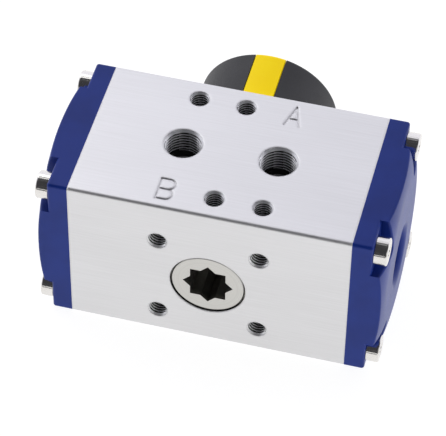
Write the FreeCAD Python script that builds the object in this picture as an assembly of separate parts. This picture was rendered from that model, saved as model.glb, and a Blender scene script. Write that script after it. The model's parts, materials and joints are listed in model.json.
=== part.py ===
import FreeCAD, Part
import math
import os

# Rotary pneumatic actuator, double acting, rack and pinion, one piston each side of the pinion.
# Millimetres. The origin is on the drive axis in the mounting face.
# +X runs along the body, +Y goes from the mounting face into the body along the drive axis,
# and +Z points to the face with the two air ports.
os.makedirs("parts", exist_ok=True)

V = FreeCAD.Vector
X_AXIS = V(1, 0, 0)
Y_AXIS = V(0, 1, 0)
Z_AXIS = V(0, 0, 1)

# Body block
body_length = 70.5
body_width = 44.0
body_top = 25.0
body_bottom = -20.0
edge_radius = 0.8
bore_radius = 16.0
bore_y = 22.0

# Drive shaft openings in the body
lower_hole_radius = 9.6
upper_hole_radius = 7.0
hole_lip = 0.1
ceiling_y = 38.0

# Threaded holes, at their nominal thread size
mounting_circle = 36.0
m5_radius = 2.5
mounting_hole_depth = 8.0
accessory_hole_depth = 7.0
accessory_holes = [(-12.0, 38.0), (0.0, 38.0), (0.0, 6.0), (12.0, 6.0)]
port_radius = 4.86
port_depth = 7.5
port_x = 12.0
drill_tip_angle = 59.0

# Air passages
channel_y = 30.5
channel_z = 17.2
channel_radius = 1.25
centre_passage_x = 10.5
centre_passage_radius = 1.5

# Port letters, cut as shallow strokes
letter_height = 6.6
letter_width = 3.8
stroke_width = 0.46
stroke_depth = 0.3
letter_a_place = (12.15, 38.1)
letter_b_place = (-12.0, 6.1)

# End caps
flange_thickness = 5.1
dome_height = 8.5
dome_flat_radius = 17.2
dome_fall_radius = 23.0
cap_centre_z = (body_top + body_bottom) / 2
pocket_half_y = 12.5
pocket_half_z = 12.75
recess_radius = 6.5
recess_depth = 4.0
recess_lip = 2.6
dome_edge_radius = 0.5
spigot_radius = 15.92
spigot_length = 1.5
cap_hollow_radius = 13.2
cap_hollow_depth = 2.0
seal_centre_radius = 20.0
seal_width = 1.6
seal_depth = 1.3

# End cap screws
screw_pitch = 36.0
screw_radius = 1.95
screw_hole_radius = 2.0
screw_clear_radius = 2.15
screw_reach = 8.0
screw_head_radius = 3.5
screw_head_height = 3.3
screw_key_size = 2.5
screw_key_depth = 1.8

# Gear
gear_module = 1.0
gear_teeth = 16
pressure_angle = math.radians(20.0)
flank_relief = 0.04
rack_addendum = 0.9
pitch_radius = gear_module * gear_teeth / 2
pitch = math.pi * gear_module

# Pistons, at the inner end of their travel
piston_inner_x = 14.03
piston_thickness = 7.0
piston_radius = 15.8
ring_running_radius = 15.95
guide_groove = (0.9, 2.2, 14.6)
seal_groove = (4.0, 1.9, 14.2)
rack_tip_x = -13.8
rack_half_width = 7.5
rack_back_radius = 15.6
pad_half_width = 4.5
pad_start_x = -10.5
pad_end_x = 5.0
pad_seat_radius = 14.8
pad_running_radius = 15.93

# Pinion
pinion_end_y = 0.35
lower_journal_radius = 9.3
lower_journal_end_y = 10.2
gear_start_y = 11.0
gear_end_y = 33.0
collar_radius = 8.2
collar_end_y = 36.95
upper_journal_radius = 6.8
upper_journal_end_y = 46.5
stub_radius = 6.0
stub_flats = 9.0
stub_end_y = 61.8
star_square = 9.0
star_depth = 9.2
clip_groove_y = 45.15
clip_groove_width = 1.1
clip_seat_radius = 6.3

# Indicator
indicator_radius = 18.2
indicator_low_y = 44.7
indicator_high_y = 65.2
indicator_wall = 2.0
indicator_roof = 3.2
hub_radius = 9.0
hub_low_y = 47.3
bar_half_width = 3.85
bar_slot_half_width = 4.12
bar_thickness = 0.9
rib_thickness = 1.4
m3_radius = 1.5
m3_head_radius = 2.8


def box(x_low, x_high, y_low, y_high, z_low, z_high):
    return Part.makeBox(x_high - x_low, y_high - y_low, z_high - z_low, V(x_low, y_low, z_low))


def rod_x(radius, x_low, x_high, y=bore_y, z=0.0):
    return Part.makeCylinder(radius, x_high - x_low, V(x_low, y, z), X_AXIS)


def rod_y(radius, y_low, y_high, x=0.0, z=0.0):
    return Part.makeCylinder(radius, y_high - y_low, V(x, y_low, z), Y_AXIS)


def ring_x(outer, inner, x_low, x_high, z=0.0):
    return rod_x(outer, x_low, x_high, z=z).cut(rod_x(inner, x_low - 1, x_high + 1, z=z))


def ring_y(outer, inner, y_low, y_high):
    return rod_y(outer, y_low, y_high).cut(rod_y(inner, y_low - 1, y_high + 1))


def round_seal(centre, axis, middle_radius, section_radius):
    return Part.makeTorus(middle_radius, section_radius, centre, axis)


def half_turn_about(shape, point, axis):
    turned = shape.copy()
    turned.rotate(point, axis, 180)
    return turned


def blind_hole(mouth, inward, radius, depth, lip):
    """A drilled hole with a small lip at its mouth and a conical bottom."""
    tip = radius / math.tan(math.radians(drill_tip_angle))
    hole = Part.makeCylinder(radius, depth, mouth, inward)
    cone = Part.makeCone(radius, 0, tip, mouth + inward * depth, inward)
    flare = Part.makeCone(radius + lip, radius, lip, mouth, inward)
    return hole.fuse([cone, flare])


def hexagonal_socket(mouth, inward, across_flats, depth, around):
    """A six-sided prism that starts at mouth and goes inward."""
    corner = across_flats / math.sqrt(3)
    points = []
    for i in range(7):
        spoke = FreeCAD.Rotation(inward, 60 * i).multVec(around)
        points.append(mouth + spoke * corner)
    return Part.Face(Part.makePolygon(points)).extrude(inward * depth)


def long_block(x_low, x_high):
    """The body outline drawn along X, with its four long edges rounded."""
    block = box(x_low, x_high, 0, body_width, body_bottom, body_top)
    long_edges = [e for e in block.Edges if abs(e.tangentAt(e.FirstParameter).x) > 0.99]
    return block.makeFillet(edge_radius, long_edges)


def screw_places():
    half = screw_pitch / 2
    return [(bore_y + a, cap_centre_z + b) for a in (-half, half) for b in (-half, half)]


def stroke(start, end):
    """A straight letter stroke with round ends, cut into the port face."""
    low = body_top - stroke_depth
    run = V(end[0] - start[0], end[1] - start[1], 0)
    line = Part.makeBox(run.Length, stroke_width, 1, V(0, -stroke_width / 2, 0))
    line.rotate(V(0, 0, 0), Z_AXIS, math.degrees(math.atan2(run.y, run.x)))
    line.translate(V(start[0], start[1], low))
    ends = [Part.makeCylinder(stroke_width / 2, 1, V(p[0], p[1], low)) for p in (start, end)]
    return line.fuse(ends)


def bowl_curve(start_x, centre_y, radius):
    """The rounded right-hand side of a letter: half a ring, open to the left."""
    low = body_top - stroke_depth
    half = stroke_width / 2
    centre = V(start_x, centre_y, low)
    outer = Part.makeCylinder(radius + half, 1, centre)
    inner = Part.makeCylinder(radius - half, 1, centre)
    right = Part.makeBox(2 * radius, 4 * radius, 1, centre + V(0, -2 * radius, 0))
    return outer.cut(inner).common(right)


def letter_a():
    x, y = letter_a_place
    half_w = letter_width / 2
    low = y - letter_height / 2
    high = y + letter_height / 2
    bar_y = low + letter_height * 0.34
    bar_half = half_w * (high - bar_y) / letter_height
    left = stroke((x - half_w, low), (x, high))
    right = stroke((x + half_w, low), (x, high))
    return left.fuse([right, stroke((x - bar_half, bar_y), (x + bar_half, bar_y))])


def letter_b():
    x, y = letter_b_place
    left_x = x - letter_width / 2
    low = y - letter_height / 2
    radius = letter_height / 4
    flat = letter_width - radius
    half = stroke_width / 2
    floor_z = body_top - stroke_depth
    stem = box(left_x - half, left_x + half, low - half, low + letter_height + half, floor_z, floor_z + 1)
    arms = [box(left_x, left_x + flat, low + 2 * radius * n - half, low + 2 * radius * n + half,
                floor_z, floor_z + 1) for n in range(3)]
    bowls = [bowl_curve(left_x + flat, low + radius * n, radius) for n in (1, 3)]
    return stem.fuse(arms + bowls)


def make_body():
    half = body_length / 2
    body = long_block(-half, half)
    cuts = [rod_x(bore_radius, -half - 1, half + 1)]
    for side in (-1, 1):
        mouth = V(side * half, bore_y, 0)
        cuts.append(Part.makeCone(bore_radius + 0.4, bore_radius, 0.4, mouth, X_AXIS * -side))
        for y, z in screw_places():
            start = V(side * half, y, z)
            cuts.append(blind_hole(start, X_AXIS * -side, screw_hole_radius, screw_reach + 1.5, 0.2))
    # The drive shaft goes in from the mounting face, as far as a flat ceiling
    cuts.append(rod_y(lower_hole_radius, -1, ceiling_y))
    cuts.append(Part.makeCone(lower_hole_radius + hole_lip, lower_hole_radius, hole_lip,
                              V(0, 0, 0), Y_AXIS))
    cuts.append(rod_y(upper_hole_radius, ceiling_y - 1, body_width + 1))
    cuts.append(Part.makeCone(upper_hole_radius + hole_lip, upper_hole_radius, hole_lip,
                              V(0, body_width, 0), Y_AXIS * -1))
    for i in range(4):
        angle = math.radians(45 + 90 * i)
        place = V(math.cos(angle), 0, math.sin(angle)) * (mounting_circle / 2)
        cuts.append(blind_hole(place, Y_AXIS, m5_radius, mounting_hole_depth, 0.12))
    for x, y in accessory_holes:
        cuts.append(blind_hole(V(x, y, body_top), Z_AXIS * -1, m5_radius, accessory_hole_depth, 0.12))
    for x in (-port_x, port_x):
        mouth = V(x, bore_y, body_top)
        cuts.append(Part.makeCylinder(port_radius, port_depth, mouth, Z_AXIS * -1))
        cuts.append(Part.makeCone(port_radius + 0.15, port_radius, 0.15, mouth, Z_AXIS * -1))
    # The right port feeds the middle chamber
    cuts.append(Part.makeCylinder(centre_passage_radius, 6, V(centre_passage_x, bore_y, 14)))
    # The left port feeds both end chambers through a lengthwise channel
    cuts.append(rod_x(channel_radius, -half - 1, half + 1, y=channel_y, z=channel_z))
    start = V(-port_x, bore_y + 3, channel_z + 4.3)
    run = V(-port_x, channel_y, channel_z) - start
    cuts.append(Part.makeCylinder(channel_radius, run.Length, start, run))
    cuts.append(letter_a())
    cuts.append(letter_b())
    for cut in cuts:
        body = body.cut(cut)
    return body


def make_right_cap():
    half = body_length / 2
    face_x = half + flange_thickness
    top_x = half + dome_height
    # The raised middle: flat around its centre, then falling away in an arc of revolution
    reach = 33.0
    drop = dome_fall_radius - math.sqrt(dome_fall_radius ** 2 - (reach - dome_flat_radius) ** 2)
    swing = math.asin((reach - dome_flat_radius) / dome_fall_radius) / 2
    middle = V(top_x - dome_fall_radius * (1 - math.cos(swing)),
               dome_flat_radius + dome_fall_radius * math.sin(swing), 0)
    corner = V(top_x - drop, reach, 0)
    outline = [
        Part.makeLine(V(half, 0, 0), V(top_x, 0, 0)),
        Part.makeLine(V(top_x, 0, 0), V(top_x, dome_flat_radius, 0)),
        Part.Arc(V(top_x, dome_flat_radius, 0), middle, corner).toShape(),
        Part.makeLine(corner, V(half, reach, 0)),
        Part.makeLine(V(half, reach, 0), V(half, 0, 0)),
    ]
    dome = Part.Face(Part.Wire(outline)).revolve(V(0, 0, 0), X_AXIS, 360)
    dome.translate(V(0, bore_y, cap_centre_z))
    dome = dome.common(long_block(half, top_x + 1))
    for side_y in (-1, 1):
        for side_z in (-1, 1):
            ys = sorted((bore_y + side_y * pocket_half_y, bore_y + side_y * 30))
            zs = sorted((cap_centre_z + side_z * pocket_half_z, cap_centre_z + side_z * 30))
            dome = dome.cut(box(face_x - 2, top_x + 1, ys[0], ys[1], zs[0], zs[1]))
    upright = [e for e in dome.Edges if is_pocket_corner(e, face_x)]
    dome = dome.makeFillet(1.5, upright)
    flange = long_block(half, face_x)
    rim = [e for e in flange.Edges if abs(e.BoundBox.XMin - face_x) < 0.01]
    flange = flange.makeFillet(0.7, rim)
    cap = flange.fuse(dome).removeSplitter()
    cap = cap.makeFillet(dome_edge_radius, [e for e in cap.Edges if is_dome_rim(e, face_x)])
    recess = rod_x(recess_radius, top_x - recess_depth, top_x + 1)
    lip = ring_x(recess_radius + recess_lip, recess_radius, top_x - recess_lip, top_x + 1)
    lip = lip.cut(Part.makeTorus(recess_radius + recess_lip, recess_lip,
                                 V(top_x - recess_lip, bore_y, 0), X_AXIS))
    cap = cap.cut(recess).cut(lip)
    spigot = rod_x(spigot_radius, half - spigot_length, half + 1)
    cap = cap.fuse(spigot)
    cap = cap.cut(rod_x(cap_hollow_radius, half - spigot_length - 1, half + cap_hollow_depth))
    groove = ring_x(seal_centre_radius + seal_width / 2, seal_centre_radius - seal_width / 2,
                    half - 1, half + seal_depth, z=cap_centre_z)
    spigot_zone = rod_x(spigot_radius + 0.5, half - spigot_length - 1, half)
    cap = cap.cut(groove.cut(spigot_zone))
    # Two slots lead air from the lengthwise channel into the end chamber, for either hand
    out = math.degrees(math.atan2(channel_z, channel_y - bore_y))
    for angle in (out, 180 - out):
        slot = Part.makeBox(spigot_length + 1.6, 8.2, 2.4, V(half - spigot_length, 12, -1.2))
        slot.rotate(V(0, 0, 0), X_AXIS, angle)
        slot.translate(V(0, bore_y, 0))
        cap = cap.cut(slot)
    for y, z in screw_places():
        cap = cap.cut(rod_x(screw_clear_radius, half - 1, face_x + 1, y=y, z=z))
    return cap.removeSplitter()


def is_pocket_corner(edge, face_x):
    """True for the inner upright edge of a corner pocket."""
    spread = edge.BoundBox
    middle = edge.CenterOfMass
    upright = spread.XLength > 0.5 and spread.YLength < 0.01 and spread.ZLength < 0.01
    near_y = abs(abs(middle.y - bore_y) - pocket_half_y) < 0.01
    near_z = abs(abs(middle.z - cap_centre_z) - pocket_half_z) < 0.01
    return upright and near_y and near_z and middle.x > face_x - 2


def is_dome_rim(edge, face_x):
    """True for the dome's outer rims: along the four sides and along the pocket walls."""
    spread = edge.BoundBox
    middle = edge.CenterOfMass
    raised = spread.XMin > face_x + 1 and edge.Length > 3
    along_z = spread.YLength < 0.01 and abs(abs(middle.y - bore_y) - body_width / 2) < 0.01
    tall = body_top - cap_centre_z
    along_y = spread.ZLength < 0.01 and abs(abs(middle.z - cap_centre_z) - tall) < 0.01
    wall_y = spread.YLength < 0.2 and abs(abs(middle.y - bore_y) - pocket_half_y) < 0.1
    wall_z = spread.ZLength < 0.2 and abs(abs(middle.z - cap_centre_z) - pocket_half_z) < 0.1
    return raised and (along_z or along_y or wall_y or wall_z)


def make_cap_seal():
    half = body_length / 2
    ring = ring_x(seal_centre_radius + seal_width / 2 - 0.05,
                  seal_centre_radius - seal_width / 2 + 0.05,
                  half, half + seal_depth - 0.05, z=cap_centre_z)
    inner_edges = [e for e in ring.Edges if e.BoundBox.XMin > half + seal_depth - 0.1]
    return ring.makeFillet(0.5, inner_edges)


def make_cap_screws():
    seat_x = body_length / 2 + flange_thickness
    end_x = body_length / 2 - screw_reach
    screws = []
    for y, z in screw_places():
        head = rod_x(screw_head_radius, seat_x, seat_x + screw_head_height, y=y, z=z)
        rim = [e for e in head.Edges if e.BoundBox.XMin > seat_x + screw_head_height - 0.01]
        head = head.makeFillet(0.4, rim)
        shank = rod_x(screw_radius, end_x, seat_x + 0.5, y=y, z=z)
        tip = [e for e in shank.Edges if e.BoundBox.XMax < end_x + 0.01]
        screw = head.fuse(shank.makeChamfer(0.4, tip))
        mouth = V(seat_x + screw_head_height, y, z)
        socket = hexagonal_socket(mouth, X_AXIS * -1, screw_key_size, screw_key_depth, Y_AXIS)
        screws.append(screw.cut(socket))
    return Part.makeCompound(screws)


def rack_tooth(centre_x):
    """One straight-sided tooth pointing down from the root line."""
    root_z = pitch_radius + 1.25 * gear_module
    tip_z = pitch_radius - rack_addendum
    half_at_pitch = pitch / 4 - flank_relief
    half_root = half_at_pitch + (root_z - pitch_radius) * math.tan(pressure_angle)
    half_tip = half_at_pitch - rack_addendum * math.tan(pressure_angle)
    y_low = bore_y - rack_half_width
    points = [
        V(centre_x - half_root, y_low, root_z + 0.5),
        V(centre_x - half_root, y_low, root_z),
        V(centre_x - half_tip, y_low, tip_z),
        V(centre_x + half_tip, y_low, tip_z),
        V(centre_x + half_root, y_low, root_z),
        V(centre_x + half_root, y_low, root_z + 0.5),
        V(centre_x - half_root, y_low, root_z + 0.5),
    ]
    return Part.Face(Part.makePolygon(points)).extrude(Y_AXIS * (2 * rack_half_width))


def make_right_piston():
    outer_x = piston_inner_x + piston_thickness
    head = rod_x(piston_radius, piston_inner_x, outer_x)
    rims = [e for e in head.Edges if e.BoundBox.XLength < 0.01]
    head = head.makeChamfer(0.3, rims)
    for offset, width, radius in (guide_groove, seal_groove):
        start = piston_inner_x + offset
        head = head.cut(ring_x(piston_radius + 1, radius, start, start + width))
    # The outer face is dished to save weight
    head = head.cut(rod_x(9.0, outer_x - 2.5, outer_x + 1))
    root_z = pitch_radius + 1.25 * gear_module
    arm = box(rack_tip_x, piston_inner_x + 0.5, bore_y - rack_half_width,
              bore_y + rack_half_width, root_z, bore_radius)
    arm = arm.common(rod_x(rack_back_radius, rack_tip_x - 1, piston_inner_x + 1))
    teeth = [rack_tooth((k + 0.5) * pitch) for k in range(-4, 2)]
    arm = arm.fuse(teeth)
    seat = ring_x(bore_radius + 1, pad_seat_radius, pad_start_x, pad_end_x)
    seat = seat.common(box(pad_start_x, pad_end_x, bore_y - pad_half_width,
                           bore_y + pad_half_width, 0, bore_radius + 1))
    return head.fuse(arm.cut(seat)).removeSplitter()


def make_right_piston_seal():
    offset, width, radius = seal_groove
    section = (ring_running_radius - radius) / 2 - 0.02
    centre = V(piston_inner_x + offset + width / 2, bore_y, 0)
    return round_seal(centre, X_AXIS, ring_running_radius - section, section)


def make_right_guide_ring():
    offset, width, radius = guide_groove
    start = piston_inner_x + offset + 0.05
    ring = ring_x(ring_running_radius, radius + 0.02, start, start + width - 0.1)
    # The ring is split by a slanting gap
    gap = Part.makeBox(6, 1.0, 4, V(-3, -0.5, -ring_running_radius - 1))
    gap.rotate(V(0, 0, 0), Z_AXIS, 40)
    gap.translate(V(start + width / 2, bore_y, 0))
    return ring.cut(gap)


def make_right_rack_pad():
    pad = ring_x(pad_running_radius, pad_seat_radius, pad_start_x + 0.05, pad_end_x - 0.05)
    return pad.common(box(pad_start_x, pad_end_x, bore_y - pad_half_width + 0.05,
                          bore_y + pad_half_width - 0.05, 0, bore_radius + 1))


def polar(radius, angle, y):
    """A point around the drive axis; the angle runs from +Z towards +X."""
    return V(radius * math.sin(angle), y, radius * math.cos(angle))


def make_gear():
    base_radius = pitch_radius * math.cos(pressure_angle)
    tip_radius = pitch_radius + gear_module
    root_radius = pitch_radius - 1.25 * gear_module

    def involute(radius):
        roll = math.acos(min(1.0, base_radius / radius))
        return math.tan(roll) - roll

    half_at_pitch = math.pi / (2 * gear_teeth) - flank_relief / pitch_radius
    start = half_at_pitch + math.tan(pressure_angle) - pressure_angle
    middle_radius = (base_radius + tip_radius) / 2
    step = 2 * math.pi / gear_teeth
    y = gear_start_y
    edges = []
    for i in range(gear_teeth):
        c = i * step
        at_middle = start - involute(middle_radius)
        at_tip = start - involute(tip_radius)
        edges.append(Part.makeLine(polar(root_radius, c - start, y), polar(base_radius, c - start, y)))
        edges.append(Part.Arc(polar(base_radius, c - start, y), polar(middle_radius, c - at_middle, y),
                              polar(tip_radius, c - at_tip, y)).toShape())
        edges.append(Part.Arc(polar(tip_radius, c - at_tip, y), polar(tip_radius, c, y),
                              polar(tip_radius, c + at_tip, y)).toShape())
        edges.append(Part.Arc(polar(tip_radius, c + at_tip, y), polar(middle_radius, c + at_middle, y),
                              polar(base_radius, c + start, y)).toShape())
        edges.append(Part.makeLine(polar(base_radius, c + start, y), polar(root_radius, c + start, y)))
        edges.append(Part.Arc(polar(root_radius, c + start, y), polar(root_radius, c + step / 2, y),
                              polar(root_radius, c + step - start, y)).toShape())
    face = Part.Face(Part.Wire(edges))
    return face.extrude(Y_AXIS * (gear_end_y - gear_start_y))


def make_pinion():
    shaft = rod_y(lower_journal_radius, pinion_end_y, lower_journal_end_y)
    rims = [e for e in shaft.Edges if e.BoundBox.YLength < 0.01]
    shaft = shaft.makeChamfer(0.25, rims)
    root_radius = pitch_radius - 1.25 * gear_module
    stub = rod_y(stub_radius, upper_journal_end_y - 1, stub_end_y)
    stub = stub.common(box(-20, 20, 0, 80, -stub_flats / 2, stub_flats / 2))
    shaft = shaft.fuse([
        rod_y(root_radius, lower_journal_end_y - 0.5, gear_start_y + 0.5),
        make_gear(),
        rod_y(collar_radius, gear_end_y, collar_end_y),
        rod_y(upper_journal_radius, collar_end_y - 0.5, upper_journal_end_y),
        stub,
    ])
    shaft = shaft.cut(ring_y(lower_journal_radius + 1, 8.3, 1.0, 3.0))
    shaft = shaft.cut(ring_y(lower_journal_radius + 1, 7.9, 3.7, 5.6))
    shaft = shaft.cut(ring_y(upper_journal_radius + 1, 5.8, 38.6, 40.8))
    shaft = shaft.cut(ring_y(upper_journal_radius + 1, 5.3, 41.4, 43.3))
    shaft = shaft.cut(ring_y(upper_journal_radius + 1, clip_seat_radius, clip_groove_y,
                             clip_groove_y + clip_groove_width))
    # The drive socket is two equal squares laid over each other at 45 degrees
    half = star_square / 2
    square = box(-half, half, pinion_end_y - 1, pinion_end_y + star_depth, -half, half)
    turned = square.copy()
    turned.rotate(V(0, 0, 0), Y_AXIS, 45)
    shaft = shaft.cut(square.fuse(turned))
    shaft = shaft.cut(blind_hole(V(0, stub_end_y, 0), Y_AXIS * -1, m3_radius + 0.05, 8.5, 0.2))
    return shaft


def split_ring_y(outer, inner, y_low, y_high):
    """A ring around the drive axis, split by a narrow gap."""
    ring = ring_y(outer, inner, y_low, y_high)
    return ring.cut(box(-0.4, 0.4, y_low - 1, y_high + 1, inner - 1, outer + 1))


def make_retaining_ring():
    y_low = clip_groove_y + 0.05
    y_high = clip_groove_y + clip_groove_width - 0.05
    ring = ring_y(8.3, clip_seat_radius + 0.05, y_low, y_high)
    opening = box(-2.0, 2.0, y_low - 1, y_high + 1, 0, 12)
    ring = ring.cut(opening)
    for side in (-1, 1):
        ear = rod_y(1.5, y_low, y_high, x=side * 2.6, z=8.0)
        ear = ear.cut(rod_y(upper_journal_radius + 0.05, y_low - 1, y_high + 1))
        ring = ring.fuse(ear).cut(rod_y(0.6, y_low - 1, y_high + 1, x=side * 2.6, z=8.3))
    return ring


def indicator_outline(radius, high_y, edge):
    drum = rod_y(radius, indicator_low_y, high_y)
    rim = [e for e in drum.Edges if e.BoundBox.YMin > high_y - 0.01]
    return drum.makeFillet(edge, rim)


def make_indicator():
    drum = indicator_outline(indicator_radius, indicator_high_y, 1.2)
    core = indicator_outline(indicator_radius - bar_thickness, indicator_high_y - bar_thickness, 0.6)
    slab = box(-bar_slot_half_width, bar_slot_half_width, indicator_low_y - 1,
               indicator_high_y + 1, -30, 30)
    cap = drum.cut(slab.cut(core))
    roof_y = indicator_high_y - indicator_roof
    hollow = rod_y(indicator_radius - indicator_wall - bar_thickness, indicator_low_y - 1, roof_y)
    hollow = hollow.cut(rod_y(hub_radius, hub_low_y, roof_y + 1))
    for i in range(4):
        rib = box(hub_radius - 1, indicator_radius - 1.5, hub_low_y + 2, roof_y + 1,
                  -rib_thickness / 2, rib_thickness / 2)
        rib.rotate(V(0, 0, 0), Y_AXIS, 45 + 90 * i)
        hollow = hollow.cut(rib)
    cap = cap.cut(hollow)
    seat = rod_y(stub_radius + 0.08, hub_low_y - 1, stub_end_y + 0.1)
    flats = stub_flats / 2 + 0.08
    cap = cap.cut(seat.common(box(-20, 20, 0, 80, -flats, flats)))
    cap = cap.cut(rod_y(m3_radius + 0.1, stub_end_y - 1, indicator_high_y + 1))
    return cap.cut(screw_cone(0.03))


def screw_cone(clearance):
    """The countersink, which starts at the roof's outer face."""
    head = m3_head_radius + clearance
    depth = m3_head_radius - m3_radius
    flare = Part.makeCone(head, head - depth, depth, V(0, indicator_high_y - 0.2, 0), Y_AXIS * -1)
    return flare.fuse(rod_y(head, indicator_high_y - 0.2, indicator_high_y + 1))


def make_indicator_bar():
    drum = indicator_outline(indicator_radius, indicator_high_y, 1.2)
    core = indicator_outline(indicator_radius - bar_thickness, indicator_high_y - bar_thickness, 0.6)
    slab = box(-bar_half_width, bar_half_width, indicator_low_y - 1, indicator_high_y + 1, -30, 30)
    bar = drum.cut(core).common(slab)
    return bar.cut(rod_y(m3_head_radius + 0.05, indicator_high_y - 5, indicator_high_y + 1))


def make_indicator_screw():
    top_y = indicator_high_y - 0.2
    depth = m3_head_radius - m3_radius
    head = Part.makeCone(m3_head_radius, m3_radius, depth, V(0, top_y, 0), Y_AXIS * -1)
    shank = rod_y(m3_radius, stub_end_y - 7.5, top_y - depth + 0.1)
    screw = head.fuse(shank)
    return screw.cut(hexagonal_socket(V(0, top_y, 0), Y_AXIS * -1, 2.0, 1.2, X_AXIS))


def save(name, shape):
    shape.exportStep("parts/" + name + ".step")


bore_centre = V(0, bore_y, 0)

save("body", make_body())

for name, right in (
    ("end_cap", make_right_cap()),
    ("end_cap_seal", make_cap_seal()),
    ("cap_screws", make_cap_screws()),
):
    save(name + "_right", right)
    save(name + "_left", half_turn_about(right, bore_centre, Z_AXIS))

for name, right in (
    ("piston", make_right_piston()),
    ("piston_seal", make_right_piston_seal()),
    ("piston_guide_ring", make_right_guide_ring()),
    ("rack_guide", make_right_rack_pad()),
):
    save(name + "_right", right)
    save(name + "_left", half_turn_about(right, bore_centre, Y_AXIS))

save("pinion", make_pinion())
save("pinion_bearing_lower", split_ring_y(9.55, 8.32, 1.05, 2.95))
save("pinion_bearing_upper", split_ring_y(6.95, 5.82, 38.65, 40.75))
save("pinion_seal_lower", round_seal(V(0, 4.65, 0), Y_AXIS, 8.73, 0.82))
save("pinion_seal_upper", round_seal(V(0, 42.35, 0), Y_AXIS, 6.13, 0.82))
save("inner_thrust_washer", ring_y(9.2, upper_journal_radius + 0.05, 36.98, 37.95))
save("outer_thrust_washer", ring_y(9.6, upper_journal_radius + 0.05, 44.05, 45.1))
save("retaining_ring", make_retaining_ring())
save("indicator_cap", make_indicator())
save("indicator_bar", make_indicator_bar())
save("indicator_screw", make_indicator_screw())
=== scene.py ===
import json
import math

import bmesh
import bpy
from mathutils import Matrix, Vector


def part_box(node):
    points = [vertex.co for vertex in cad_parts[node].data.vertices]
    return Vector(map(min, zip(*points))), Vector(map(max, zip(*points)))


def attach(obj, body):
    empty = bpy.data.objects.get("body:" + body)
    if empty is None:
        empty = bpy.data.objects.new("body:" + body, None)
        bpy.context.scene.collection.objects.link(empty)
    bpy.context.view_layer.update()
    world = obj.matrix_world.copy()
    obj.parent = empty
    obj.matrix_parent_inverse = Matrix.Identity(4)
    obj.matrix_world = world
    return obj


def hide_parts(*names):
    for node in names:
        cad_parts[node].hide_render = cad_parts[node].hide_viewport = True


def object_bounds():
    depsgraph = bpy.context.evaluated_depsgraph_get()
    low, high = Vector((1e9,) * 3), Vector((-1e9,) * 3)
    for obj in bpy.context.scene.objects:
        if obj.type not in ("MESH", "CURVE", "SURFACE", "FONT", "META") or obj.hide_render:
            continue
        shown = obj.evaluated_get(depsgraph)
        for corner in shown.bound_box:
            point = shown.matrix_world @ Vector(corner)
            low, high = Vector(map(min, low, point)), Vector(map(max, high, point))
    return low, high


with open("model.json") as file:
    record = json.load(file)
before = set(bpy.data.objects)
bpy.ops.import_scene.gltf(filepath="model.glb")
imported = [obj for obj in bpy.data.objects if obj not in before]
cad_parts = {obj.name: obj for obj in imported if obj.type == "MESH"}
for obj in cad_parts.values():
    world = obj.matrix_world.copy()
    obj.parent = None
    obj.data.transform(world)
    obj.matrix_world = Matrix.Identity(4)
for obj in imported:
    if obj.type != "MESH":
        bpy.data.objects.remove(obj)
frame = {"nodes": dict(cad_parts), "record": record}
CAD_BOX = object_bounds()
MM = 0.001
scene = bpy.context.scene


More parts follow.
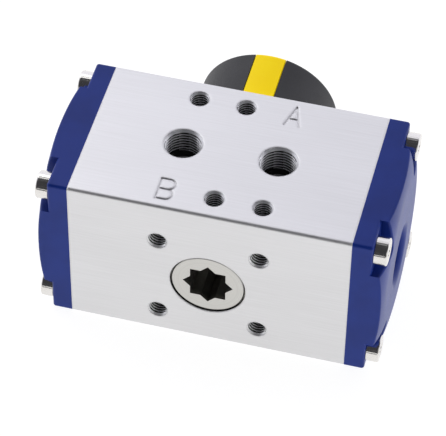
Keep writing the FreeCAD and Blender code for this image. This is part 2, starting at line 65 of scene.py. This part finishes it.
# ---------------------------------------------------------------- materials
class Nodes:
    """A small helper that builds one node material."""

    def __init__(self, name):
        self.mat = bpy.data.materials.new(name)
        self.mat.use_nodes = True
        self.tree = self.mat.node_tree
        self.bsdf = self.tree.nodes["Principled BSDF"]
        self.where = self.tree.nodes.new("ShaderNodeTexCoord").outputs["Object"]

    def set(self, **values):
        for key, value in values.items():
            self.bsdf.inputs[key.replace("_", " ")].default_value = value

    def link(self, a, b):
        self.tree.links.new(a, b)

    def node(self, kind, **props):
        n = self.tree.nodes.new(kind)
        for key, value in props.items():
            setattr(n, key, value)
        return n

    def scaled(self, sx, sy, sz):
        """Object coordinates in millimetres, times a factor along each axis."""
        n = self.node("ShaderNodeMapping")
        n.inputs["Scale"].default_value = (sx / MM, sy / MM, sz / MM)
        self.link(self.where, n.inputs["Vector"])
        return n.outputs["Vector"]

    def noise(self, vector, scale=1.0, detail=3.0, rough=0.5):
        n = self.node("ShaderNodeTexNoise")
        n.inputs["Scale"].default_value = scale
        n.inputs["Detail"].default_value = detail
        n.inputs["Roughness"].default_value = rough
        self.link(vector, n.inputs["Vector"])
        return n.outputs["Fac"]

    def math(self, op, a, b=0.0):
        n = self.node("ShaderNodeMath", operation=op)
        for i, v in enumerate((a, b)):
            if isinstance(v, (int, float)):
                n.inputs[i].default_value = v
            else:
                self.link(v, n.inputs[i])
        return n.outputs[0]

    def span(self, value, low, high, to_low, to_high):
        """Takes low to high over to to_low to to_high, with a smooth step."""
        n = self.node("ShaderNodeMapRange")
        n.interpolation_type = "SMOOTHSTEP"
        for key, v in zip(("From Min", "From Max", "To Min", "To Max"), (low, high, to_low, to_high)):
            n.inputs[key].default_value = v
        self.link(value, n.inputs["Value"])
        return n.outputs["Result"]

    def mix(self, fac, a, b):
        n = self.node("ShaderNodeMix", data_type="RGBA")
        self.link(fac, n.inputs["Factor"])
        for i, v in ((6, a), (7, b)):
            if isinstance(v, tuple):
                n.inputs[i].default_value = (*v, 1.0)
            else:
                self.link(v, n.inputs[i])
        return n.outputs[2]

    def edge(self, radius):
        """Near 1 on sharp edges, 0 on open faces."""
        bevel = self.node("ShaderNodeBevel", samples=4)
        bevel.inputs["Radius"].default_value = radius * MM
        geo = self.node("ShaderNodeNewGeometry")
        dot = self.node("ShaderNodeVectorMath", operation="DOT_PRODUCT")
        self.link(bevel.outputs["Normal"], dot.inputs[0])
        self.link(geo.outputs["Normal"], dot.inputs[1])
        return self.span(dot.outputs["Value"], 0.97, 0.80, 0.0, 1.0)

    def rounded(self, radius):
        """Shading normals that ease round the edges."""
        bevel = self.node("ShaderNodeBevel", samples=6)
        bevel.inputs["Radius"].default_value = radius * MM
        return bevel.outputs["Normal"]

    def bump(self, height, distance, before=None):
        """Bump from a height texture, distance in millimetres, on top of the normals in before."""
        n = self.node("ShaderNodeBump")
        n.inputs["Strength"].default_value = 1.0
        n.inputs["Distance"].default_value = distance * MM
        self.link(height, n.inputs["Height"])
        if before:
            self.link(before, n.inputs["Normal"])
        self.link(n.outputs["Normal"], self.bsdf.inputs["Normal"])

    def from_axis(self):
        """Distance from the drive axis, and y, both in millimetres."""
        split = self.node("ShaderNodeSeparateXYZ")
        self.link(self.scaled(1, 1, 1), split.inputs[0])
        x, y, z = split.outputs
        squares = self.math("ADD", self.math("MULTIPLY", x, x), self.math("MULTIPLY", z, z))
        return self.math("SQRT", squares), y

    def both(self, *masks):
        """1 where every mask is 1."""
        whole = masks[0]
        for mask in masks[1:]:
            whole = self.math("MULTIPLY", whole, mask)
        return whole

    def colour(self, value):
        self.link(value, self.bsdf.inputs["Base Color"])

    def rough(self, value):
        self.link(value, self.bsdf.inputs["Roughness"])


def shade(colour, factor):
    """The same colour, lighter or darker."""
    return tuple(min(1.0, c * factor) for c in colour)


def metal(name, colour, roughness, streak=(1, 1, 1), depth=0.004, spread=0.06, edge_highlight=1.12,
          metallic=1.0):
    """Worked metal: streaks along one axis, fine grain, brighter edges as a painted highlight."""
    n = Nodes(name)
    n.set(Metallic=metallic)
    lines = n.noise(n.scaled(*streak), 1.0, 4.0, 0.6)
    grain = n.noise(n.scaled(1, 1, 1), 9.0, 2.0, 0.5)
    cloud = n.noise(n.scaled(1, 1, 1), 0.09, 2.0, 0.5)
    tone = n.math("ADD", n.math("MULTIPLY", lines, 0.6), n.math("MULTIPLY", cloud, 0.4))
    base = n.mix(n.span(tone, 0.3, 0.7, 0.0, 1.0),
                 shade(colour, 1 - spread), shade(colour, 1 + spread / 2))
    # Brighter edges: a painted highlight
    n.colour(n.mix(n.edge(0.25), base, shade(colour, edge_highlight)))
    n.rough(n.span(n.math("ADD", lines, n.math("MULTIPLY", grain, 0.5)), 0.5, 1.0,
                   roughness * 0.85, roughness * 1.15))
    n.bump(n.math("ADD", lines, n.math("MULTIPLY", grain, 0.4)), depth)
    return n.mat


def plastic(name, colour, roughness, grain=4.0, depth=0.01, spread=0.08, edge_highlight=1.5, spec=0.5):
    """Moulded plastic: fine texture, slight cloudiness, paler edges as a painted highlight."""
    n = Nodes(name)
    n.set(Metallic=0.0, IOR=1.46)
    n.bsdf.inputs["Specular IOR Level"].default_value = spec
    fine = n.noise(n.scaled(1, 1, 1), grain, 3.0, 0.6)
    cloud = n.noise(n.scaled(1, 1, 1), 0.12, 3.0, 0.5)
    base = n.mix(n.span(cloud, 0.35, 0.65, 0.0, 1.0),
                 shade(colour, 1 - spread), shade(colour, 1 + spread))
    # Paler edges: a painted highlight
    n.colour(n.mix(n.math("MULTIPLY", n.edge(0.2), 0.6), base, shade(colour, edge_highlight)))
    n.rough(n.span(fine, 0.35, 0.65, roughness * 0.9, roughness * 1.1))
    n.bump(fine, depth)
    return n.mat


def body_material():
    """Drawn aluminium with a satin anodised surface, a painted highlight on the edges and painted shade
    in the shaft hole.
    """
    n = Nodes("body_aluminium_finish")
    n.set(Metallic=0.72)
    lines = n.noise(n.scaled(0.05, 2.6, 2.6), 1.0, 5.0, 0.62)
    fine = n.noise(n.scaled(0.5, 9.0, 9.0), 1.0, 2.0, 0.5)
    cloud = n.noise(n.scaled(0.02, 0.05, 0.05), 1.0, 2.0, 0.5)
    tone = n.math("ADD", n.math("MULTIPLY", lines, 0.65), n.math("MULTIPLY", cloud, 0.35))
    face = n.mix(n.span(tone, 0.3, 0.7, 0.0, 1.0), BODY_LOW, BODY_HIGH)
    # Paler edges: a painted highlight
    face = n.mix(n.math("MULTIPLY", n.edge(0.2), 0.5), face, BODY_EDGE)
    # Painted shade: the wall of the shaft hole is coloured near black
    radius, y = n.from_axis()
    hole = n.both(n.span(radius, 9.72, 9.80, 1.0, 0.0), n.span(y, 0.12, 0.3, 0.0, 1.0))
    n.colour(n.mix(hole, face, HOLE_PAINTED_SHADE))
    n.rough(n.span(n.math("ADD", lines, fine), 0.7, 1.3, 0.34, 0.44))
    n.bump(n.math("ADD", lines, n.math("MULTIPLY", fine, 0.5)), 0.004,
           before=n.rounded(BODY_EDGE_RADIUS))
    return n.mat


def cap_material():
    """Blue moulded plastic with fine surface texture, a few hair scratches and paler edges as a painted
    highlight.
    """
    n = Nodes("cap_blue_finish")
    n.set(Metallic=0.0, IOR=1.5)
    n.bsdf.inputs["Specular IOR Level"].default_value = 0.2
    fine = n.noise(n.scaled(1, 1, 1), 5.0, 3.0, 0.6)
    cloud = n.noise(n.scaled(1, 1, 1), 0.10, 3.0, 0.5)
    base = n.mix(n.span(cloud, 0.35, 0.65, 0.0, 1.0), shade(CAP_BLUE, 0.92), shade(CAP_BLUE, 1.08))
    # Lighter blue edges: a painted highlight
    n.colour(n.mix(n.math("MULTIPLY", n.edge(0.25), 0.45), base, shade(CAP_BLUE, 1.9)))
    warp = n.noise(n.scaled(1, 1, 1), 0.35, 2.0, 0.5)
    ring = n.math("ABSOLUTE", n.math("SUBTRACT", warp, 0.5))
    scratch = n.span(ring, 0.0, 0.0035, 1.0, 0.0)
    place = n.span(n.noise(n.scaled(1, 1, 1), 0.22, 1.0, 0.5), 0.56, 0.62, 0.0, 1.0)
    mark = n.math("MULTIPLY", scratch, place)
    n.rough(n.math("ADD", n.span(fine, 0.35, 0.65, 0.33, 0.41), n.math("MULTIPLY", mark, 0.2)))
    n.bump(n.math("SUBTRACT", fine, mark), 0.008)
    return n.mat


def turned_material(name, colour, roughness, pitch=0.35):
    """Lathe-turned metal: fine rings around the drive axis on end faces, lines round the sides, a
    painted highlight on the edges and painted shade in the drive socket and on the side of the journal.
    """
    n = Nodes(name)
    n.set(Metallic=1.0)
    radius, y = n.from_axis()
    wave = n.math("ADD", radius, y)
    rings = n.node("ShaderNodeTexNoise", noise_dimensions="1D")
    rings.inputs["Scale"].default_value = 1.0 / pitch
    rings.inputs["Detail"].default_value = 3.0
    n.link(wave, rings.inputs["W"])
    grain = n.noise(n.scaled(1, 1, 1), 6.0, 2.0, 0.5)
    tone = n.math("ADD", n.math("MULTIPLY", rings.outputs["Fac"], 0.7), n.math("MULTIPLY", grain, 0.3))
    face = n.mix(n.span(tone, 0.3, 0.7, 0.0, 1.0), shade(colour, 0.92), shade(colour, 1.05))
    # Lighter edges: a painted highlight
    face = n.mix(n.math("MULTIPLY", n.edge(0.15), 0.5), face, shade(colour, 1.2))
    # Painted shade: the drive socket and the side of the journal are coloured darker
    socket = n.both(n.span(radius, 6.7, 6.5, 0.0, 1.0), n.span(y, 0.5, 2.2, 0.0, 1.0))
    side = n.both(n.span(radius, 9.2, 9.28, 0.0, 1.0), n.span(y, 0.45, 0.7, 0.0, 1.0))
    n.colour(n.mix(n.math("MAXIMUM", socket, side), face, SOCKET_PAINTED_SHADE))
    n.rough(n.span(tone, 0.3, 0.7, roughness * 0.85, roughness * 1.2))
    n.bump(tone, 0.004)
    return n.mat


BODY_LOW = (0.745, 0.74, 0.745)
BODY_HIGH = (0.81, 0.806, 0.815)
# Paler colour for the edges, a painted highlight
BODY_EDGE = (0.93, 0.93, 0.94)
BODY_EDGE_RADIUS = 0.8
# Near black for the wall of the shaft hole, painted shade
HOLE_PAINTED_SHADE = (0.01, 0.01, 0.01)
# Darker colour for the drive socket and the side of the journal, painted shade
SOCKET_PAINTED_SHADE = (0.30, 0.295, 0.28)
CAP_BLUE = (0.010, 0.036, 0.275)
YELLOW = (1.0, 0.72, 0.001)
# Emission colour for the yellow bar, painted light
YELLOW_PAINTED_GLOW = (1.0, 0.72, 0.0, 1.0)

MAT = {
    "body_aluminium": body_material(),
    "cap_blue": cap_material(),
    "seal_rubber": plastic("rubber_finish", (0.012, 0.012, 0.013), 0.55, 6.0, 0.006),
    "screw_steel": metal("screw_finish", (0.78, 0.76, 0.73), 0.22, (0.3, 3, 3), 0.003),
    "piston_aluminium": metal("piston_finish", (0.62, 0.62, 0.63), 0.34, (4, 0.4, 0.4), 0.004),
    "bearing_plastic": plastic("bearing_finish", (0.72, 0.70, 0.62), 0.5, 3.0, 0.006, 0.04, 1.1),
    "pinion_steel": turned_material("pinion_finish", (0.60, 0.59, 0.56), 0.33),
    "clip_steel": metal("clip_finish", (0.16, 0.16, 0.17), 0.35, (1, 4, 1), 0.004),
    "indicator_black": plastic("indicator_finish", (0.028, 0.028, 0.031), 0.52, 3.2, 0.02, 0.12, 2.2),
    "indicator_yellow": plastic("bar_finish", YELLOW, 0.45, 4.0, 0.006, 0.03, 1.04, 0.15),
}
# Painted highlight and painted shade: near white metal on the thread crests, near black in the roots
# and the drilled ends
THREAD_CREST_PAINTED_HIGHLIGHT = metal("thread_crest_painted_highlight", (0.95, 0.95, 0.96), 0.36, (2, 2, 2), 0.002, 0.06, 1.05, 0.6)
THREAD_ROOT_PAINTED_SHADE = metal("thread_root_painted_shade", (0.035, 0.035, 0.033), 0.5, (2, 2, 2), 0.002, 0.1, 1.2, 0.6)
THREAD_PAINTED_LIGHT_AND_SHADE = (THREAD_CREST_PAINTED_HIGHLIGHT, THREAD_ROOT_PAINTED_SHADE)

# Painted light: the yellow bar is given a little emission, though it is no lamp
bar_painted_glow = MAT["indicator_yellow"].node_tree.nodes["Principled BSDF"]
bar_painted_glow.inputs["Emission Color"].default_value = YELLOW_PAINTED_GLOW
bar_painted_glow.inputs["Emission Strength"].default_value = 0.30

SLOTS = {s["node"]: s["material_slot"] for s in frame["record"]["subparts"]}
for node_name, obj in frame["nodes"].items():
    obj.data.materials.clear()
    obj.data.materials.append(MAT[SLOTS[node_name]])


# ---------------------------------------------------------------- mesh pieces
def piece(name, bm, materials, body):
    """Turns a bmesh into a smooth shaded piece that moves with a body."""
    mesh = bpy.data.meshes.new(name)
    bmesh.ops.recalc_face_normals(bm, faces=bm.faces)
    bm.to_mesh(mesh)
    bm.free()
    for polygon in mesh.polygons:
        polygon.use_smooth = True
    obj = bpy.data.objects.new(name, mesh)
    scene.collection.objects.link(obj)
    for material in materials:
        obj.data.materials.append(material)
    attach(obj, body)
    return obj


DRILL_HALF_ANGLE = math.radians(59)


def thread_liner(bm, mouth, out, major, minor, pitch, depth, turned=0.0, tip=None):
    """A closed sleeve with a helical thread inside, a bevelled mouth and a conical end.
    Faces get material 0, the painted highlight, on the crests and the bevel, and 1, the painted shade,
    in the roots and the drilled end.
    The tip is the length of the drilled cone, that of a 118 degree drill if none is given."""
    out = Vector(out).normalized()
    side = out.orthogonal().normalized()
    other = out.cross(side)
    spokes = 72
    rows_per_turn = 12
    sleeve = 0.03
    crest_flat, flank = 0.12, 0.76
    rows = int(depth / pitch * rows_per_turn)
    bevel = major - minor + 0.12

    def point(radius, angle, deep):
        spin = side * math.cos(angle) + other * math.sin(angle)
        return Vector(mouth) + (spin * radius - out * deep) * MM

    def ring(radius_at, deep):
        return [bm.verts.new(point(radius_at(a), a, deep)) for a in
                (2 * math.pi * i / spokes + turned for i in range(spokes))]

    def join(a, b):
        for i in range(spokes):
            j = (i + 1) % spokes
            face = bm.faces.new((a[i], a[j], b[j], b[i]))
            middle = face.calc_center_median() - Vector(mouth)
            deep = -middle.dot(out) / MM
            wide = (middle + out * deep * MM).length / MM
            crest = wide < minor + 0.40 * (major - minor) and deep < depth - 0.4 * pitch
            face.material_index = 0 if crest or deep < bevel * 0.8 else 1

    rings = [ring(lambda a: major + sleeve, 0.02)]
    for r in range(rows + 1):
        deep = 0.03 + (depth - 0.03) * r / rows

        def radius_at(a, deep=deep):
            turn = (deep / pitch - a / (2 * math.pi)) % 1.0
            wave = abs(2 * turn - 1)
            body = minor + (major - minor) * min(1.0, max(0.0, (wave - crest_flat) / flank))
            body = minor + (body - minor) * min(1.0, (depth - deep) / (0.5 * pitch))
            return max(body, minor + bevel - deep) if deep < bevel else body

        rings.append(ring(radius_at, deep))
    if tip is None:
        tip = minor / math.tan(DRILL_HALF_ANGLE)
    rings.append(ring(lambda a: minor * 0.55, depth + tip * 0.45))
    for a, b in zip(rings, rings[1:]):
        join(a, b)
    centre = bm.verts.new(point(0, 0, depth + tip))
    for i in range(spokes):
        bm.faces.new((rings[-1][i], rings[-1][(i + 1) % spokes], centre)).material_index = 1
    # The hidden outside of the sleeve
    outer = [ring(lambda a: major + sleeve, d) for d in (depth * 0.5, depth)]
    join(outer[0], rings[0])
    join(outer[1], outer[0])
    under = bm.verts.new(point(0, 0, depth + tip + 0.2))
    for i in range(spokes):
        bm.faces.new((outer[1][(i + 1) % spokes], outer[1][i], under)).material_index = 1


# Threads, in millimetres
M5 = dict(major=2.5, minor=2.10, pitch=0.8)
MOUNTING_CIRCLE_RADIUS = 18.0
MOUNTING_DEPTH = 7.8
ACCESSORY_PLACES = ((-12, 38), (0, 38), (0, 6), (12, 6))
ACCESSORY_DEPTH = 6.8
PORT = dict(major=4.86, minor=4.28, pitch=0.907)
PORT_X, PORT_Y, PORT_DEPTH = 12, 22, 7.2
# Short, so that the drilled end stays clear of the cylinder bore below the port
PORT_TIP = 1.0
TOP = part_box("body")[1].z
half_step = MOUNTING_CIRCLE_RADIUS * MM / math.sqrt(2)

bm = bmesh.new()
for sx in (-1, 1):
    for sz in (-1, 1):
        thread_liner(bm, (sx * half_step, 0, sz * half_step), (0, -1, 0),
                     depth=MOUNTING_DEPTH, turned=sx + sz, **M5)
piece("mounting_threads", bm, THREAD_PAINTED_LIGHT_AND_SHADE, "housing")

bm = bmesh.new()
for x, y in ACCESSORY_PLACES:
    thread_liner(bm, (x * MM, y * MM, TOP), (0, 0, 1), depth=ACCESSORY_DEPTH, turned=x + y, **M5)
piece("accessory_threads", bm, THREAD_PAINTED_LIGHT_AND_SHADE, "housing")

bm = bmesh.new()
for sx in (-1, 1):
    thread_liner(bm, (sx * PORT_X * MM, PORT_Y * MM, TOP), (0, 0, 1),
                 depth=PORT_DEPTH, turned=sx, tip=PORT_TIP, **PORT)
piece("port_threads", bm, THREAD_PAINTED_LIGHT_AND_SHADE, "housing")


# Cap screws, in millimetres
HEAD_RADIUS, HEAD_HEIGHT = 3.5, 3.3
SHANK_RADIUS, SHANK_LENGTH = 1.95, 13.1
KEY_WIDTH, KEY_DEPTH = 2.5, 1.8
KNURLS, KNURL_HEIGHT = 36, 0.014
CROWN_RADIUS = 0.42


def knurled_screw(bm, seat, out):
    """A socket head screw with a knurled head, an open hexagonal key hole and a plain shank."""
    head_r, head_h, key = HEAD_RADIUS, HEAD_HEIGHT, KEY_WIDTH
    shank_r, shank = SHANK_RADIUS, SHANK_LENGTH
    out = Vector(out).normalized()
    side = Vector((0, 1, 0))
    other = out.cross(side)
    spokes = 144

    def ring(radius, height, knurl=0.0, hexed=False):
        verts = []
        for i in range(spokes):
            a = 2 * math.pi * i / spokes
            r = radius + knurl * math.cos(a * KNURLS)
            if hexed:
                within = (a + math.pi / 6) % (math.pi / 3) - math.pi / 6
                r = radius / math.cos(within)
            spin = side * math.cos(a) + other * math.sin(a)
            verts.append(bm.verts.new(Vector(seat) + (spin * r + out * height) * MM))
        return verts

    def join(a, b):
        for i in range(spokes):
            j = (i + 1) % spokes
            bm.faces.new((a[i], a[j], b[j], b[i]))

    rows = [ring(0.6 * shank_r, -shank), ring(shank_r, -shank + 0.6), ring(shank_r, 0.0),
            ring(head_r - 0.18, 0.0), ring(head_r - 0.02, 0.12)]
    for k in range(6):
        rows.append(ring(head_r - 0.02, 0.2 + (head_h - 0.75) * k / 5, KNURL_HEIGHT))
    for k in range(6):
        t = math.pi / 2 * k / 5
        rows.append(ring(head_r - CROWN_RADIUS + 0.4 * math.cos(t),
                         head_h - CROWN_RADIUS + CROWN_RADIUS * math.sin(t)))
    rows.append(ring(key / 2 + 0.42, head_h))
    rows.append(ring(key / 2 + 0.16, head_h - 0.12))
    rows.append(ring(key / 2, head_h - 0.28, hexed=True))
    rows.append(ring(key / 2, head_h - KEY_DEPTH, hexed=True))
    for a, b in zip(rows, rows[1:]):
        join(a, b)
    for row, h, flip in ((rows[0], -shank, True), (rows[-1], head_h - 2.1, False)):
        centre = bm.verts.new(Vector(seat) + out * h * MM)
        for i in range(spokes):
            pair = (row[(i + 1) % spokes], row[i]) if flip else (row[i], row[(i + 1) % spokes])
            bm.faces.new((*pair, centre))


def cap_screw_set(which, sign):
    """Four screws, seated on the flange of one end cap."""
    low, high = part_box("cap_screws_" + which)
    seat_x = (high.x if sign > 0 else low.x) - sign * HEAD_HEIGHT * MM
    r = HEAD_RADIUS * MM
    bm = bmesh.new()
    for y in (low.y + r, high.y - r):
        for z in (low.z + r, high.z - r):
            knurled_screw(bm, (seat_x, y, z), (sign, 0, 0))
    made = piece("knurled_screws_" + which, bm, (MAT["screw_steel"],), "housing")
    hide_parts("cap_screws_" + which)
    return made


SHARP_ANGLE = math.radians(32)
screw_sets = [cap_screw_set("left", -1), cap_screw_set("right", 1)]
for made in screw_sets:
    split = made.modifiers.new("edges", "EDGE_SPLIT")
    split.split_angle = SHARP_ANGLE


# ---------------------------------------------------------------- stage
def mesh_plane(name, corners):
    """One flat face through the given corners."""
    mesh = bpy.data.meshes.new(name)
    mesh.from_pydata(corners, [], [tuple(range(len(corners)))])
    obj = bpy.data.objects.new(name, mesh)
    scene.collection.objects.link(obj)
    return obj


FLOOR_Z = CAD_BOX[0].z
FLOOR_REACH = 3
floor = mesh_plane("floor", [(sx * FLOOR_REACH, sy * FLOOR_REACH, FLOOR_Z)
                             for sx, sy in ((-1, -1), (1, -1), (1, 1), (-1, 1))])
paper = Nodes("floor_paper")
paper.set(Roughness=0.9)
paper.bsdf.inputs["Base Color"].default_value = (0.25, 0.25, 0.25, 1)
paper.bsdf.inputs["Emission Color"].default_value = (1, 1, 1, 1)
paper.bsdf.inputs["Emission Strength"].default_value = 0.93
paper.bump(paper.noise(paper.scaled(1, 1, 1), 0.5, 2.0, 0.5), 0.01)
floor.data.materials.append(paper.mat)

world = bpy.data.worlds.new("studio")
scene.world = world
world.use_nodes = True
wt = world.node_tree
back = wt.nodes["Background"]
direction = wt.nodes.new("ShaderNodeTexCoord").outputs["Generated"]
# The camera's side is darker than the rest of the room
TOWARDS_CAMERA = (0.160167, -0.657093, 0.736597)
dot = wt.nodes.new("ShaderNodeVectorMath")
dot.operation = "DOT_PRODUCT"
wt.links.new(direction, dot.inputs[0])
dot.inputs[1].default_value = TOWARDS_CAMERA
ramp = wt.nodes.new("ShaderNodeValToRGB")
wt.links.new(dot.outputs["Value"], ramp.inputs["Fac"])
ramp.color_ramp.interpolation = "EASE"
ramp.color_ramp.elements[0].position = 0.15
ramp.color_ramp.elements[0].color = (0.92, 0.92, 1.0, 1)
ramp.color_ramp.elements[1].position = 0.62
ramp.color_ramp.elements[1].color = (0.04, 0.04, 0.045, 1)
wt.links.new(ramp.outputs["Color"], back.inputs["Color"])
back.inputs["Strength"].default_value = 1.14


def area_light(name, place, aim, size, power):
    """A soft disk light that shines from one place towards another."""
    light = bpy.data.lights.new(name, "AREA")
    light.shape = "DISK"
    light.size = size
    light.energy = power
    obj = bpy.data.objects.new(name, light)
    scene.collection.objects.link(obj)
    obj.location = place
    obj.rotation_euler = (Vector(aim) - Vector(place)).to_track_quat("-Z", "Y").to_euler()
    obj.visible_camera = False
    return obj


CENTRE = (0, 0.03, 0)
# Place and disk diameter in metres, power in watts
area_light("key", (-0.45, 0.35, 0.75), CENTRE, 0.6, 1.2)
area_light("fill", (0.6, -0.5, 0.35), CENTRE, 0.5, 0.5)

# ---------------------------------------------------------------- camera
FOCAL_LENGTH = 208.17
CAMERA_PLACE = (102.077, -403.616, 478.010)
cam_data = bpy.data.cameras.new("camera")
cam_data.sensor_width = 36.0
cam_data.lens = FOCAL_LENGTH
cam_data.clip_start = 0.01
cam_data.clip_end = 20
camera = bpy.data.objects.new("camera", cam_data)
scene.collection.objects.link(camera)
RIGHT = Vector((0.968584, 0.248443, 0.011017))
UP = Vector((-0.190241, 0.711691, 0.676242))
BACK = Vector(TOWARDS_CAMERA)
camera.matrix_world = Matrix.Translation(Vector(CAMERA_PLACE) * MM) @ Matrix(
    (RIGHT, UP, BACK)).transposed().to_4x4()
scene.camera = camera
scene.view_settings.view_transform = "Standard"
scene.view_settings.look = "None"

bpy.context.view_layer.update()
